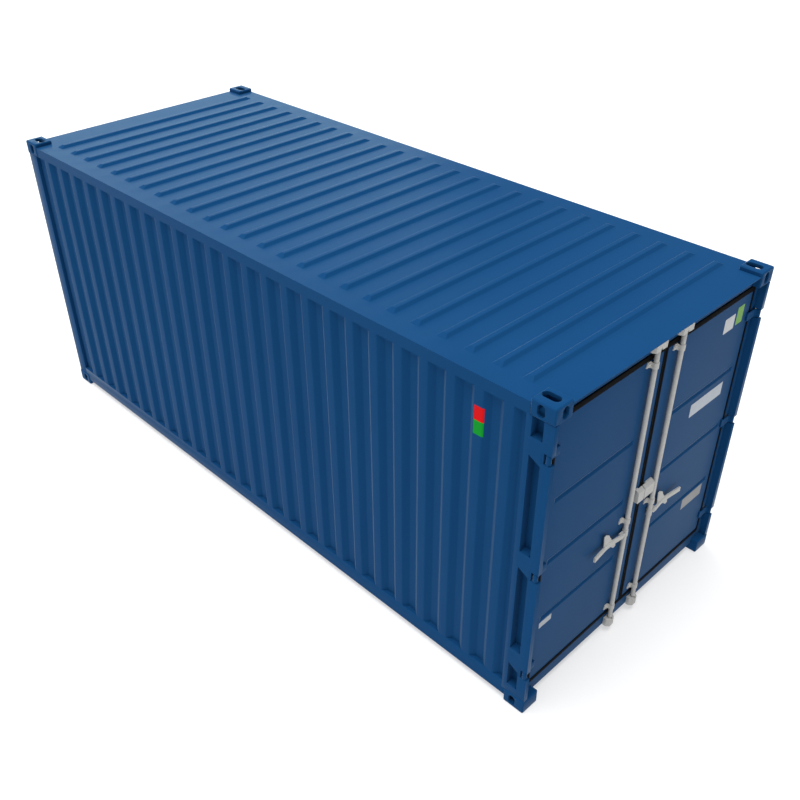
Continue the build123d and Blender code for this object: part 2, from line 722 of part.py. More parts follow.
# Lock box: a hood over the meeting edges, parted at the door gap
def lock_hood(outward, end):
    """One half of the hood, from the door gap outwards, with a foot on the leaf beside the gasket."""
    inner = outward * BOX_GAP / 2
    foot = outward * BOX_FOOT
    with BuildPart() as hood:
        with BuildSketch(Plane.XZ.offset(-inner)):
            outline(
                [(BOX_BACK, BOX_LOW), (BOX_FRONT, BOX_LOW), (BOX_FRONT, BOX_FRONT_TOP), (BOX_BACK, BOX_BACK_TOP)]
            )
        extrude(amount=-(end - inner))
        block((DOOR_FACE, BOX_BACK), (foot, end), (BOX_LOW, BOX_BACK_TOP))
        block(
            (DOOR_FACE, BOX_FRONT - BOX_WALL),
            (inner, end - outward * BOX_WALL),
            (BOX_LOW, BOX_FRONT_TOP - BOX_WALL),
            mode=Mode.SUBTRACT,
        )
    return hood


save(lock_hood(-1, BOX_LEFT).part, "left_lock_box")
save(lock_hood(1, BOX_RIGHT).part, "right_lock_box")
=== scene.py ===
import math

import bmesh
import bpy
from mathutils import Matrix, Vector


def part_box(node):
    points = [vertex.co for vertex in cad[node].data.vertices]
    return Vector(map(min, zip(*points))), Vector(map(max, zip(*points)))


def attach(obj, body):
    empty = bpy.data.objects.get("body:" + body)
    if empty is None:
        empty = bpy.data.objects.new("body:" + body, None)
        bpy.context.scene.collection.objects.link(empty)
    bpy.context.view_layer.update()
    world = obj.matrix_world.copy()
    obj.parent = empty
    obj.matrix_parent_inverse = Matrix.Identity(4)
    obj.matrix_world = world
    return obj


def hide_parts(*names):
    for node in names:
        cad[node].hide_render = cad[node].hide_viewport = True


# The box as it leaves the works: castings, posts, rails, sheets and doors, welded from steel.
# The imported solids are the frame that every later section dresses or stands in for.
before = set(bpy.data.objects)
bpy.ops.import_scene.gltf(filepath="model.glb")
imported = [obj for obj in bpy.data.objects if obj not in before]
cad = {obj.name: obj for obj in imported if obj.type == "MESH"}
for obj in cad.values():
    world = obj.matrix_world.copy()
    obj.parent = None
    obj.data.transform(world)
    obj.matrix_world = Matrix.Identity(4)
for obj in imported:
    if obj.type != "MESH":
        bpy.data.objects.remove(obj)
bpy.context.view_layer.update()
bpy.ops.object.select_all(action="DESELECT")
HANDS = ("left", "right")


# Corner castings: hollow blocks of cast steel with long apertures, welded to the posts and rails.
# They are sprayed with the rest of the box, in a blue paint with a faint mottle and orange peel.
# The paint has gone a little chalky, and shines only where it is seen along its face.
class Socket:
    """An output of a shader node. Sums and products of it are written as Python."""

    def __init__(self, tree, output):
        self.tree = tree
        self.output = output

    def node(self, kind, settings=None, inputs=None, output=0):
        """A new node of that kind, with its settings made first, then its inputs."""
        made = self.tree.nodes.new(kind)
        for name, value in (settings or {}).items():
            setattr(made, name, value)
        for name, value in (inputs or {}).items():
            if isinstance(value, Socket):
                self.tree.links.new(value.output, made.inputs[name])
            else:
                made.inputs[name].default_value = value
        return Socket(self.tree, made.outputs[output])

    def maths(self, operation, first, second):
        return self.node("ShaderNodeMath", {"operation": operation}, {0: first, 1: second})

    def __add__(self, other):
        return self.maths("ADD", self, other)

    __radd__ = __add__

    def __sub__(self, other):
        return self.maths("SUBTRACT", self, other)

    def __mul__(self, other):
        return self.maths("MULTIPLY", self, other)

    __rmul__ = __mul__

    def __pow__(self, power):
        return self.maths("POWER", self, power)

    def above(self, level):
        """1 where the value is over the level, 0 elsewhere."""
        return self.maths("GREATER_THAN", self, level)

    def noise(self, scale, detail=2.0):
        """A noise between 0 and 1 over these coordinates, with its waves 1 / scale metres long."""
        inputs = {"Vector": self, "Scale": scale, "Detail": detail}
        return self.node("ShaderNodeTexNoise", {}, inputs)

    def spread(self, least, most):
        """The value stretched from 0 and 1 to the least and the most."""
        return least + (most - least) * self

    def between(self, dark, light):
        """The colour that lies this far from the first colour to the second."""
        ends = [value if isinstance(value, Socket) else (*value, 1.0) for value in (dark, light)]
        inputs = {"Factor": self, 6: ends[0], 7: ends[1]}
        return self.node("ShaderNodeMix", {"data_type": "RGBA"}, inputs, output=2)

    def bump(self, strength, distance):
        """The normal of a surface that rises by that distance where this value goes from 0 to 1."""
        inputs = {"Height": self, "Strength": strength, "Distance": distance}
        return self.node("ShaderNodeBump", {}, inputs)


def new_finish(name):
    """A material with its shader and the piece's own coordinates."""
    material = bpy.data.materials.new(name)
    material.use_nodes = True
    tree = material.node_tree
    shader = tree.nodes["Principled BSDF"]
    place = Socket(tree, None).node("ShaderNodeTexCoord", output="Object")
    return material, shader, place


def feed(shader, name, socket):
    """Links a value that changes over the surface to one of the shader's inputs."""
    socket.tree.links.new(socket.output, shader.inputs[name])


def settle(shader, **constants):
    """Sets inputs that are the same all over the surface, by their names with _ for a space."""
    for name, value in constants.items():
        shader.inputs[name.replace("_", " ")].default_value = value


BLUE_DEEP = (0.0062, 0.0530, 0.156)
BLUE_LIGHT = (0.0080, 0.0610, 0.176)
MOTTLE = 1.3
MOTTLE_DETAIL = 4.0
PAINT_WEAR = 5.0
PAINT_ROUGHNESS = (0.30, 0.40)
PEEL = 260.0
PEEL_STRENGTH = 0.05
PEEL_HEIGHT = 0.0005
EVEN_BLEND = 0.5
GLOSS_FALL = 7.0
GLOSS_ROUGHNESS = 0.35
PAINT_SHINE = 0.008
CHALK = (0.80, 1.0, 0.92, 1.0)
CHALK_WEIGHT = 0.12
CHALK_ROUGHNESS = 0.30
paint, paint_shader, paint_place = new_finish("blue_paint_finish")
mottle = paint_place.noise(MOTTLE, MOTTLE_DETAIL)
feed(paint_shader, "Base Color", mottle.between(BLUE_DEEP, BLUE_LIGHT))
feed(paint_shader, "Roughness", paint_place.noise(PAINT_WEAR).spread(*PAINT_ROUGHNESS))
feed(paint_shader, "Normal", paint_place.noise(PEEL).bump(PEEL_STRENGTH, PEEL_HEIGHT))
grazing = paint_place.node("ShaderNodeLayerWeight", {}, {"Blend": EVEN_BLEND}, output="Facing")
feed(paint_shader, "Coat Weight", grazing**GLOSS_FALL)
settle(paint_shader, Coat_Roughness=GLOSS_ROUGHNESS, Specular_IOR_Level=PAINT_SHINE)
settle(paint_shader, Sheen_Weight=CHALK_WEIGHT, Sheen_Roughness=CHALK_ROUGHNESS, Sheen_Tint=CHALK)

WELD_REACH = 0.0001
EDGE_STEPS = 3
SHARP = math.radians(20)
smoothing = bpy.data.node_groups.new("smoothing", "GeometryNodeTree")
for way in ("INPUT", "OUTPUT"):
    smoothing.interface.new_socket("Geometry", in_out=way, socket_type="NodeSocketGeometry")
smooth_entry = smoothing.nodes.new("NodeGroupInput")
smooth_faces = smoothing.nodes.new("GeometryNodeSetShadeSmooth")
smooth_exit = smoothing.nodes.new("NodeGroupOutput")
smoothing.links.new(smooth_entry.outputs["Geometry"], smooth_faces.inputs["Geometry"])
smoothing.links.new(smooth_faces.outputs["Geometry"], smooth_exit.inputs["Geometry"])


def dress(node, material, edge=0.0):
    """Gives a CAD node its material and, where its edges are rolled or cast, a small radius."""
    piece = cad[node]
    piece.data.materials.clear()
    piece.data.materials.append(material)
    if edge:
        weld = piece.modifiers.new("weld", "WELD")
        weld.merge_threshold = WELD_REACH
        piece.modifiers.new("smoothing", "NODES").node_group = smoothing
        radius = piece.modifiers.new("radius", "BEVEL")
        radius.width = edge
        radius.segments = EDGE_STEPS
        radius.limit_method = "ANGLE"
        radius.angle_limit = SHARP
        radius.harden_normals = True


CASTING_RADIUS = 0.004
for corner in ("door", "end"):
    for hand in HANDS:
        for level in ("low", "top"):
            dress(f"{hand}_{corner}_casting_{level}", paint, CASTING_RADIUS)

# Posts and rails: folded and rolled steel sections, welded into a frame between the castings.
# The posts and the lower rails show their bend radius.
# The top rails, the header and the sill are butted and stay square.
FOLD_RADIUS = 0.002
for hand in HANDS:
    dress(f"{hand}_door_post", paint, FOLD_RADIUS)
    dress(f"{hand}_end_post", paint, FOLD_RADIUS)
    dress(f"{hand}_bottom_side_rail", paint, FOLD_RADIUS)
    dress(f"{hand}_top_side_rail", paint)
dress("end_bottom_rail", paint, FOLD_RADIUS)
for rail in ("end_top_rail", "door_header", "door_sill"):
    dress(rail, paint)

# Cross members: steel channels welded between the lower rails, under the floor.
# They are painted with the box before the boards go down.
dress("cross_members", paint)

# Floor: plywood boards laid along the box and screwed down on the cross members.
# They are oiled and left brown, with the joints between them open by a few millimetres.
WOOD_DARK = (0.110, 0.055, 0.025)
WOOD_LIGHT = (0.250, 0.140, 0.070)
WOOD_JOINT = (0.020, 0.012, 0.008)
WOOD_ROUGHNESS = (0.62, 0.87)
GRAIN = 3.0
GRAIN_DETAIL = 6.0
GRAIN_STRETCH = (1.0, 16.0, 16.0)
GRAIN_STRENGTH = 0.3
GRAIN_HEIGHT = 0.0008
BOARD_LENGTH = 1.95
BOARD_WIDTH = 0.585
JOINT_WIDTH = 0.003
JOINT_DEPTH = 2.0
wood, wood_shader, wood_place = new_finish("brown_plywood")
along = wood_place.node(
    "ShaderNodeMapping", {}, {"Vector": wood_place, "Scale": GRAIN_STRETCH}
)
joints = wood_place.node(
    "ShaderNodeTexBrick",
    {"offset": 0.5},
    {
        "Vector": wood_place,
        "Scale": 1.0,
        "Mortar Size": JOINT_WIDTH,
        "Mortar Smooth": 0.0,
        "Brick Width": BOARD_LENGTH,
        "Row Height": BOARD_WIDTH,
    },
    output="Fac",
)
grain = along.noise(GRAIN, GRAIN_DETAIL)
boards = grain.between(WOOD_DARK, WOOD_LIGHT)
feed(wood_shader, "Base Color", joints.between(boards, WOOD_JOINT))
feed(wood_shader, "Roughness", grain.spread(*WOOD_ROUGHNESS))
feed(wood_shader, "Normal", (grain - JOINT_DEPTH * joints).bump(GRAIN_STRENGTH, GRAIN_HEIGHT))
dress("floor", wood)

# Side walls: thin steel sheet pressed into upright waves and welded in between the rails.
# The crests stand flush with the rails, and the last trough is turned out to the door post.
SHEET = 0.002
PITCH = 0.225
CREST = 0.072
SLOPE = 0.044
WAVE_DEPTH = 0.034
TROUGH = PITCH - CREST - 2 * SLOPE
WAVE_BEND = 0.006
BEND_STEPS = 5
SMOOTH_TO = math.radians(35)
SIDE_WAVES = 25
CLOSE = 0.0005
QUARTER_TURN = math.pi / 2
BEHIND = -1.0
BEFORE = 1.0


def select(piece, kind, test):
    """Selects the open mesh's edges or faces whose corners all pass the test, and nothing else."""
    bpy.ops.mesh.select_mode(type=kind)
    bpy.ops.mesh.select_all(action="DESELECT")
    shape = bmesh.from_edit_mesh(piece.data)
    for item in shape.edges if kind == "EDGE" else shape.faces:
        if test([corner.co for corner in item.verts]):
            item.select_set(True)
    bmesh.update_edit_mesh(piece.data)


def select_at(piece, x):
    """Selects the open mesh's edges that stand at that X."""
    select(piece, "EDGE", lambda ends: all(abs(end.x - x) < CLOSE for end in ends))


def pull(x=0.0, y=0.0, z=0.0):
    """Extrudes what is selected and moves it."""
    bpy.ops.mesh.extrude_region_move(TRANSFORM_OT_translate={"value": (x, y, z)})


def spin(axis, angle):
    """Turns what is selected about an axis through the origin."""
    bpy.ops.transform.rotate(value=angle, orient_axis=axis, center_override=(0, 0, 0))


def new_sheet(name, size, place=(0, 0, 0)):
    """A flat piece of sheet that faces up, open in edit mode."""
    bpy.ops.object.select_all(action="DESELECT")
    bpy.ops.mesh.primitive_plane_add(size=1.0)
    piece = bpy.context.object
    piece.name = piece.data.name = name
    bpy.ops.object.mode_set(mode="EDIT")
    bpy.ops.transform.resize(value=(size[0], size[1], 1.0), center_override=(0, 0, 0))
    bpy.ops.transform.translate(value=place)
    return piece


def repeat(piece, count, step):
    """Lays copies of the open mesh in a row along X, joined where they meet."""
    bpy.ops.object.mode_set(mode="OBJECT")
    row = piece.modifiers.new("row", "ARRAY")
    row.count = count
    row.use_relative_offset = False
    row.use_constant_offset = True
    row.constant_offset_displace = (step, 0, 0)
    row.use_merge_vertices = True
    row.merge_threshold = CLOSE
    bpy.ops.object.modifier_apply(modifier="row")
    bpy.ops.object.mode_set(mode="EDIT")


def move_end(piece, old, new):
    """Moves the end of the open sheet that stands at one X to another."""
    select_at(piece, old)
    bpy.ops.transform.translate(value=(new - old, 0, 0))


def face(piece, way):
    """Turns the open sheet's normals to that side."""
    shape = bmesh.from_edit_mesh(piece.data)
    shape.normal_update()
    flipped = sum(item.normal.dot(Vector(way)) * item.calc_area() for item in shape.faces) < 0
    bpy.ops.mesh.select_all(action="SELECT")
    if flipped:
        bpy.ops.mesh.flip_normals()


def thicken(piece, finish, thickness=SHEET, side=BEHIND):
    """Gives the open sheet its thickness, behind or before its face, smooth bends and a finish."""
    bpy.ops.object.mode_set(mode="OBJECT")
    wall = piece.modifiers.new("wall", "SOLIDIFY")
    wall.thickness = thickness
    wall.offset = side
    wall.use_even_offset = True
    bpy.ops.object.modifier_apply(modifier="wall")
    bpy.ops.object.shade_smooth_by_angle(angle=SMOOTH_TO)
    piece.data.materials.append(finish)


def wave_sheet(name, waves, run, levels, front):
    """A corrugated sheet along X, facing -Y with its crests at Y = -front, open in edit mode."""
    first = -(waves - 1) / 2 * PITCH
    height = levels[1] - levels[0]
    piece = new_sheet(name, (CREST, height))
    spin("X", QUARTER_TURN)
    bpy.ops.transform.translate(value=(first, -front, sum(levels) / 2))
    for way in (-1, 1):
        select_at(piece, first + way * CREST / 2)
        pull(x=way * SLOPE, y=WAVE_DEPTH)
        pull(x=way * TROUGH / 2)
    folds = (CREST / 2, CREST / 2 + SLOPE)
    select(
        piece,
        "EDGE",
        lambda ends: abs(ends[0].x - ends[1].x) < CLOSE
        and any(abs(abs(ends[0].x - first) - fold) < CLOSE for fold in folds),
    )
    bpy.ops.mesh.bevel(offset=WAVE_BEND, segments=BEND_STEPS, affect="EDGES")
    repeat(piece, waves, PITCH)
    half_run = waves / 2 * PITCH
    move_end(piece, -half_run, run[0])
    move_end(piece, half_run, run[1])
    return piece


wall_low, wall_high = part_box("left_side_wall")
left_wall = wave_sheet(
    "left_wall_sheet",
    SIDE_WAVES,
    (wall_low.x, wall_high.x),
    (wall_low.z, wall_high.z),
    -wall_low.y,
)
select_at(left_wall, wall_high.x)
pull(y=SHEET - WAVE_DEPTH)
face(left_wall, (0, -1, 0))
bpy.ops.object.mode_set(mode="OBJECT")
bpy.ops.object.duplicate()
right_wall = bpy.context.object
right_wall.name = right_wall.data.name = "right_wall_sheet"
bpy.ops.object.mode_set(mode="EDIT")
bpy.ops.mesh.select_all(action="SELECT")
bpy.ops.transform.resize(value=(1, -1, 1), center_override=(0, 0, 0))
face(right_wall, (0, 1, 0))
thicken(right_wall, paint)
bpy.ops.object.select_all(action="DESELECT")
left_wall.select_set(True)
bpy.context.view_layer.objects.active = left_wall
bpy.ops.object.mode_set(mode="EDIT")
thicken(left_wall, paint)
for hand, wall in zip(HANDS, (left_wall, right_wall)):
    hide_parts(f"{hand}_side_wall")
    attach(wall, "frame")

# End wall: the same pressed sheet as the side walls, welded in between the end posts.
# It closes the box opposite the doors.
END_WAVES = 10
end_low, end_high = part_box("end_wall")
end_wall = wave_sheet(
    "end_wall_sheet", END_WAVES, (end_low.y, end_high.y), (end_low.z, end_high.z), -end_low.x
)
bpy.ops.mesh.select_all(action="SELECT")
spin("Z", QUARTER_TURN)
face(end_wall, (-1, 0, 0))
thicken(end_wall, paint)
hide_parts("end_wall")
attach(end_wall, "frame")

# Roof: one steel sheet with pressed cross ribs that stop short of the rails it is welded to.
# Each rib is drawn up by a tool with sloping sides and round edges.
RIBS = 25
RIB_BASE = (0.080, 2.124)
RIB_TOP = (0.036, 2.044)
RIB_HEIGHT = 0.020
RIB_BEND = 0.003
roof_low, roof_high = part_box("roof")
roof_level = roof_high.z - RIB_HEIGHT
rib_first = -(RIBS - 1) / 2 * PITCH
roof = new_sheet("roof_sheet", (PITCH, roof_high.y - roof_low.y), (rib_first, 0, roof_level))
for across, way in ((0, 1), (0, -1), (1, 1), (1, -1)):
    cut = [rib_first, 0.0, roof_level]
    cut[across] += way * RIB_BASE[across] / 2
    bpy.ops.mesh.select_all(action="SELECT")
    bpy.ops.mesh.bisect(plane_co=cut, plane_no=(1 - across, across, 0))


def on_rib(corner):
    """True within the outline of the first rib."""
    inside_x = abs(corner.x - rib_first) < RIB_BASE[0] / 2 + CLOSE
    return inside_x and abs(corner.y) < RIB_BASE[1] / 2 + CLOSE


select(roof, "FACE", lambda corners: all(on_rib(corner) for corner in corners))
pull(z=RIB_HEIGHT)
bpy.ops.transform.resize(
    value=(RIB_TOP[0] / RIB_BASE[0], RIB_TOP[1] / RIB_BASE[1], 1.0),
    center_override=(rib_first, 0, roof_level + RIB_HEIGHT),
)
select(roof, "EDGE", lambda ends: all(on_rib(end) for end in ends))
bpy.ops.mesh.bevel(offset=RIB_BEND, segments=EDGE_STEPS, affect="EDGES")
repeat(roof, RIBS, PITCH)
move_end(roof, -RIBS / 2 * PITCH, roof_low.x)
move_end(roof, RIBS / 2 * PITCH, roof_high.x)
face(roof, (0, 0, 1))
thicken(roof, paint)
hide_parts("roof")
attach(roof, "frame")

# Door leaves: a pressed steel face sheet over a frame of welded tube.
# Both are painted with the box before the seals go on.
for hand in HANDS:
    dress(f"{hand}_door_panel", paint)
    dress(f"{hand}_door_frame", paint)

# Door seals: extruded black rubber, clamped round the edge of each leaf with its lip on the face.
# It is matt, with the fine bloom of weathered rubber.
RUBBER_DARK = (0.0030, 0.0030, 0.0034)
RUBBER_LIGHT = (0.0065, 0.0065, 0.0072)
BLOOM = 18.0
BLOOM_DETAIL = 5.0
RUBBER_PORES = 60.0
RUBBER_ROUGHNESS = (0.60, 0.80)
RUBBER_SHINE = 0.02
SEAL_RADIUS = 0.002
rubber, rubber_shader, rubber_place = new_finish("black_rubber")
bloom = rubber_place.noise(BLOOM, BLOOM_DETAIL)
feed(rubber_shader, "Base Color", bloom.between(RUBBER_DARK, RUBBER_LIGHT))
feed(rubber_shader, "Roughness", rubber_place.noise(RUBBER_PORES).spread(*RUBBER_ROUGHNESS))
settle(rubber_shader, Specular_IOR_Level=RUBBER_SHINE)
for hand in HANDS:
    dress(f"{hand}_door_gasket", rubber, SEAL_RADIUS)

# Hinges: forged blades welded to the leaves, on steel pins between the plates of the posts.
# The blades are painted over and the pins are left bright and greased.
STEEL_DARK = (0.28, 0.28, 0.29)
STEEL_LIGHT = (0.42, 0.42, 0.43)
GREASE = 40.0
STEEL_SCUFFS = 30.0
STEEL_ROUGHNESS = (0.28, 0.48)
steel, steel_shader, steel_place = new_finish("bright_steel")
feed(steel_shader, "Base Color", steel_place.noise(GREASE).between(STEEL_DARK, STEEL_LIGHT))
feed(steel_shader, "Roughness", steel_place.noise(STEEL_SCUFFS).spread(*STEEL_ROUGHNESS))
settle(steel_shader, Metallic=1.0)
dress("hinge_pins", steel)
for hand in HANDS:
    dress(f"{hand}_hinge_blades", paint, FOLD_RADIUS)

# Hinge rings: bosses forged round the eye of each blade, and steel washers above and below it.
# The washers carry the leaf and fill the play between the eye and the plates of the post.
# They are painted over with the hinges.
HINGE_LEVELS = (0.375, 1.298, 2.225)
PIN_PLACE = (3.000, 1.200)
BOSS_BORE = 0.0115
BOSS_RADIUS = 0.0170
BOSS_HEIGHT = 0.060
BOSS_EDGE = 0.0030
WASHER_BORE = 0.0073
WASHER_RADIUS = 0.0135
WASHER_HEIGHT = 0.005
WASHER_LIFT = 0.034
WASHER_EDGE = 0.0008
RING_SIDES = 32


def turned_ring(name, bore, radius, height, edge, finish):
    """A ring round the origin with an upright bore and rounded outer edges."""
    bpy.ops.object.select_all(action="DESELECT")
    bpy.ops.mesh.primitive_circle_add(vertices=RING_SIDES, radius=radius)
    ring = bpy.context.object
    ring.name = ring.data.name = name
    bpy.ops.object.mode_set(mode="EDIT")
    bpy.ops.mesh.select_mode(type="EDGE")
    bpy.ops.mesh.select_all(action="SELECT")
    pull()
    shrink = bore / radius
    bpy.ops.transform.resize(value=(shrink, shrink, 1.0), center_override=(0, 0, 0))
    bpy.ops.mesh.select_all(action="SELECT")
    pull(z=height)
    bpy.ops.mesh.select_all(action="SELECT")
    bpy.ops.transform.translate(value=(0, 0, -height / 2))
    bpy.ops.mesh.normals_make_consistent(inside=False)
    select(
        ring,
        "EDGE",
        lambda ends: abs(ends[0].z - ends[1].z) < CLOSE
        and all(end.xy.length > radius - CLOSE for end in ends),
    )
    bpy.ops.mesh.bevel(offset=edge, segments=EDGE_STEPS, affect="EDGES")
    bpy.ops.object.mode_set(mode="OBJECT")
    bpy.ops.object.shade_smooth_by_angle(angle=SMOOTH_TO)
    ring.data.materials.append(finish)
    return ring


def copy_to(piece, name, place):
    """A copy of a piece with a mesh of its own, which is moved by that much."""
    bpy.ops.object.select_all(action="DESELECT")
    piece.select_set(True)
    bpy.context.view_layer.objects.active = piece
    bpy.ops.object.duplicate()
    made = bpy.context.object
    made.name = made.data.name = name
    bpy.ops.object.mode_set(mode="EDIT")
    bpy.ops.mesh.select_all(action="SELECT")
    bpy.ops.transform.translate(value=place)
    bpy.ops.object.mode_set(mode="OBJECT")
    return made


boss = turned_ring("hinge_boss", BOSS_BORE, BOSS_RADIUS, BOSS_HEIGHT, BOSS_EDGE, paint)
washer = turned_ring(
    "hinge_washer", WASHER_BORE, WASHER_RADIUS, WASHER_HEIGHT, WASHER_EDGE, paint
)
for hand, way in zip(HANDS, (-1, 1)):
    for number, level in enumerate(HINGE_LEVELS, 1):
        pin = Vector((PIN_PLACE[0], way * PIN_PLACE[1], level))
        collar = copy_to(boss, f"{hand}_hinge_boss_{number}", pin)
        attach(collar, f"{hand}_door")
        for side, lift in (("low", -WASHER_LIFT), ("top", WASHER_LIFT)):
            name = f"{hand}_hinge_washer_{number}_{side}"
            ring = copy_to(washer, name, pin + Vector((0, 0, lift)))
            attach(ring, "frame")
bpy.data.objects.remove(boss)
bpy.data.objects.remove(washer)

# Hinge pads: short flat bars welded upright at the back of each hinge notch.
# They stiffen the nose of the post behind the pin, and close the notch to the side.
PAD_BACK = 2.9555
PAD_FRONT = 2.9720
PAD_SIDES = (1.1815, 1.2120)
PAD_HEIGHT = 0.0738
PAD_EDGE = 0.0020
bpy.ops.object.select_all(action="DESELECT")
bpy.ops.mesh.primitive_cube_add(size=1.0)
pad = bpy.context.object
pad.name = pad.data.name = "hinge_pad"
bpy.ops.object.mode_set(mode="EDIT")
bpy.ops.mesh.select_all(action="SELECT")
pad_size = (PAD_FRONT - PAD_BACK, PAD_SIDES[1] - PAD_SIDES[0], PAD_HEIGHT)
bpy.ops.transform.resize(value=pad_size)
select(pad, "EDGE", lambda ends: all(end.x > 0 for end in ends))
bpy.ops.mesh.bevel(offset=PAD_EDGE, segments=EDGE_STEPS, affect="EDGES")
bpy.ops.object.mode_set(mode="OBJECT")
bpy.ops.object.shade_smooth_by_angle(angle=SMOOTH_TO)
pad.data.materials.append(paint)
for hand, way in zip(HANDS, (-1, 1)):
    for number, level in enumerate(HINGE_LEVELS, 1):
        place = ((PAD_BACK + PAD_FRONT) / 2, way * sum(PAD_SIDES) / 2, level)
        bar = copy_to(pad, f"{hand}_hinge_pad_{number}", place)
        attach(bar, "frame")
bpy.data.objects.remove(pad)

# Lock gear: forged and tubular steel, hot dipped in zinc: bars, guides, keepers, handles and box.
# The zinc has gone dull and light grey, with the patches of its crystals still faintly there.
ZINC_DARK = (0.42, 0.42, 0.41)
ZINC_LIGHT = (0.55, 0.55, 0.53)
CRYSTALS = 70.0
DULLING = 25.0
DULLING_DETAIL = 4.0
ZINC_PORES = 60.0
ZINC_ROUGHNESS = (0.45, 0.65)
ZINC_SHINE = 0.25
GEAR_RADIUS = 0.0015
zinc, zinc_shader, zinc_place = new_finish("dull_zinc")
crystals = zinc_place.node(
    "ShaderNodeTexVoronoi", {}, {"Vector": zinc_place, "Scale": CRYSTALS}, output="Distance"
)
dulled = 0.5 * crystals + 0.5 * zinc_place.noise(DULLING, DULLING_DETAIL)
feed(zinc_shader, "Base Color", dulled.between(ZINC_DARK, ZINC_LIGHT))
feed(zinc_shader, "Roughness", zinc_place.noise(ZINC_PORES).spread(*ZINC_ROUGHNESS))
settle(zinc_shader, Specular_IOR_Level=ZINC_SHINE)
dress("bar_keepers", zinc, GEAR_RADIUS)
for hand in HANDS:
    for gear in ("locking_bar", "handle", "bar_brackets", "lock_box"):
        dress(f"{hand}_{gear}", zinc, GEAR_RADIUS)

# Guide bolts: round-headed steel bolts, one through the claw of each bar guide into the leaf.
# They are dipped in zinc with the guides.
BOLT_FRONT = 2.979
BOLT_SIDES = 16
BOLT_RADIUS = 0.0105
BOLT_RIM = 0.0025
BOLT_CROWN = ((0.0025, 0.0025), (0.0035, 0.0012))
BAR_ACROSS = 0.152
CLAW_OFFSET = (-0.048, 0.016)
GUIDE_LEVELS = (0.252, 1.107, 2.387)
bpy.ops.object.select_all(action="DESELECT")
bpy.ops.mesh.primitive_cylinder_add(vertices=BOLT_SIDES, radius=BOLT_RADIUS, depth=BOLT_RIM)
bolt = bpy.context.object
bolt.name = bolt.data.name = "guide_bolt"
bpy.ops.object.mode_set(mode="EDIT")
bpy.ops.transform.translate(value=(0, 0, BOLT_RIM / 2))
select(bolt, "FACE", lambda corners: all(corner.z > BOLT_RIM - CLOSE for corner in corners))
for narrower, higher in BOLT_CROWN:
    bpy.ops.mesh.inset(thickness=narrower)
    bpy.ops.transform.translate(value=(0, 0, higher))
bpy.ops.mesh.select_all(action="SELECT")
spin("Y", -QUARTER_TURN)
bpy.ops.object.mode_set(mode="OBJECT")
bpy.ops.object.shade_smooth_by_angle(angle=SMOOTH_TO)
bolt.data.materials.append(zinc)
for hand, way in zip(HANDS, (-1, 1)):
    for number, level in enumerate(GUIDE_LEVELS, 1):
        place = (BOLT_FRONT, way * BAR_ACROSS + CLAW_OFFSET[0], level + CLAW_OFFSET[1])
        fixed = copy_to(bolt, f"{hand}_guide_bolt_{number}", place)
        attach(fixed, f"{hand}_door")
bpy.data.objects.remove(bolt)

# Label patches: plain coloured vinyl, cut with round corners and stuck flat on the painted steel.
# One is folded over the edge of a wall crest; the others sit on the door leaves.
VINYL = 0.0006
VINYL_CORNER = 0.004
WHITE = (0.62, 0.64, 0.66)
LEAF_GREEN = (0.22, 0.45, 0.12)
PALE_BLUE = (0.52, 0.56, 0.62)
GREY = (0.34, 0.34, 0.345)
SILVER = (0.46, 0.50, 0.54)
# Each patch: name, its middle along Y, width, its middle along Z, height, colour.
PATCHES = (
    ("right_door_label_1", 0.836, 0.135, 2.263, 0.116, WHITE),
    ("right_door_label_2", 0.973, 0.087, 2.285, 0.140, LEAF_GREEN),
    ("right_door_label_3", 0.736, 0.433, 1.684, 0.110, PALE_BLUE),
    ("right_door_label_4", 0.864, 0.285, 0.697, 0.105, GREY),
    ("left_door_label_1", -0.987, 0.132, 0.719, 0.052, SILVER),
)
FADING = 0.86
FADED_SPOTS = 30.0
FADED_DETAIL = 3.0
VINYL_SCUFFS = 50.0
VINYL_ROUGHNESS = (0.40, 0.55)
VINYL_SHINE = 0.05
DOOR_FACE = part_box("left_door_panel")[1].x


def vinyl(name, colour):
    """A satin vinyl film that has faded a little in places."""
    material, shader, place = new_finish(name)
    faded = [FADING * value for value in colour]
    feed(shader, "Base Color", place.noise(FADED_SPOTS, FADED_DETAIL).between(faded, colour))
    feed(shader, "Roughness", place.noise(VINYL_SCUFFS).spread(*VINYL_ROUGHNESS))
    settle(shader, Specular_IOR_Level=VINYL_SHINE)
    return material


for name, middle, width, level, height, colour in PATCHES:
    patch = new_sheet(name, (width, height))
    bpy.ops.mesh.bevel(offset=VINYL_CORNER, segments=EDGE_STEPS, affect="VERTICES")
    bpy.ops.mesh.select_all(action="SELECT")
    pull(z=VINYL)
    bpy.ops.mesh.select_all(action="SELECT")
    bpy.ops.mesh.normals_make_consistent(inside=False)
    spin("Z", QUARTER_TURN)
    spin("Y", -QUARTER_TURN)
    bpy.ops.transform.translate(value=(DOOR_FACE, middle, level))
    bpy.ops.object.mode_set(mode="OBJECT")
    patch.data.materials.append(vinyl(f"{name}_vinyl", colour))
    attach(patch, "left_door" if middle < 0 else "right_door")

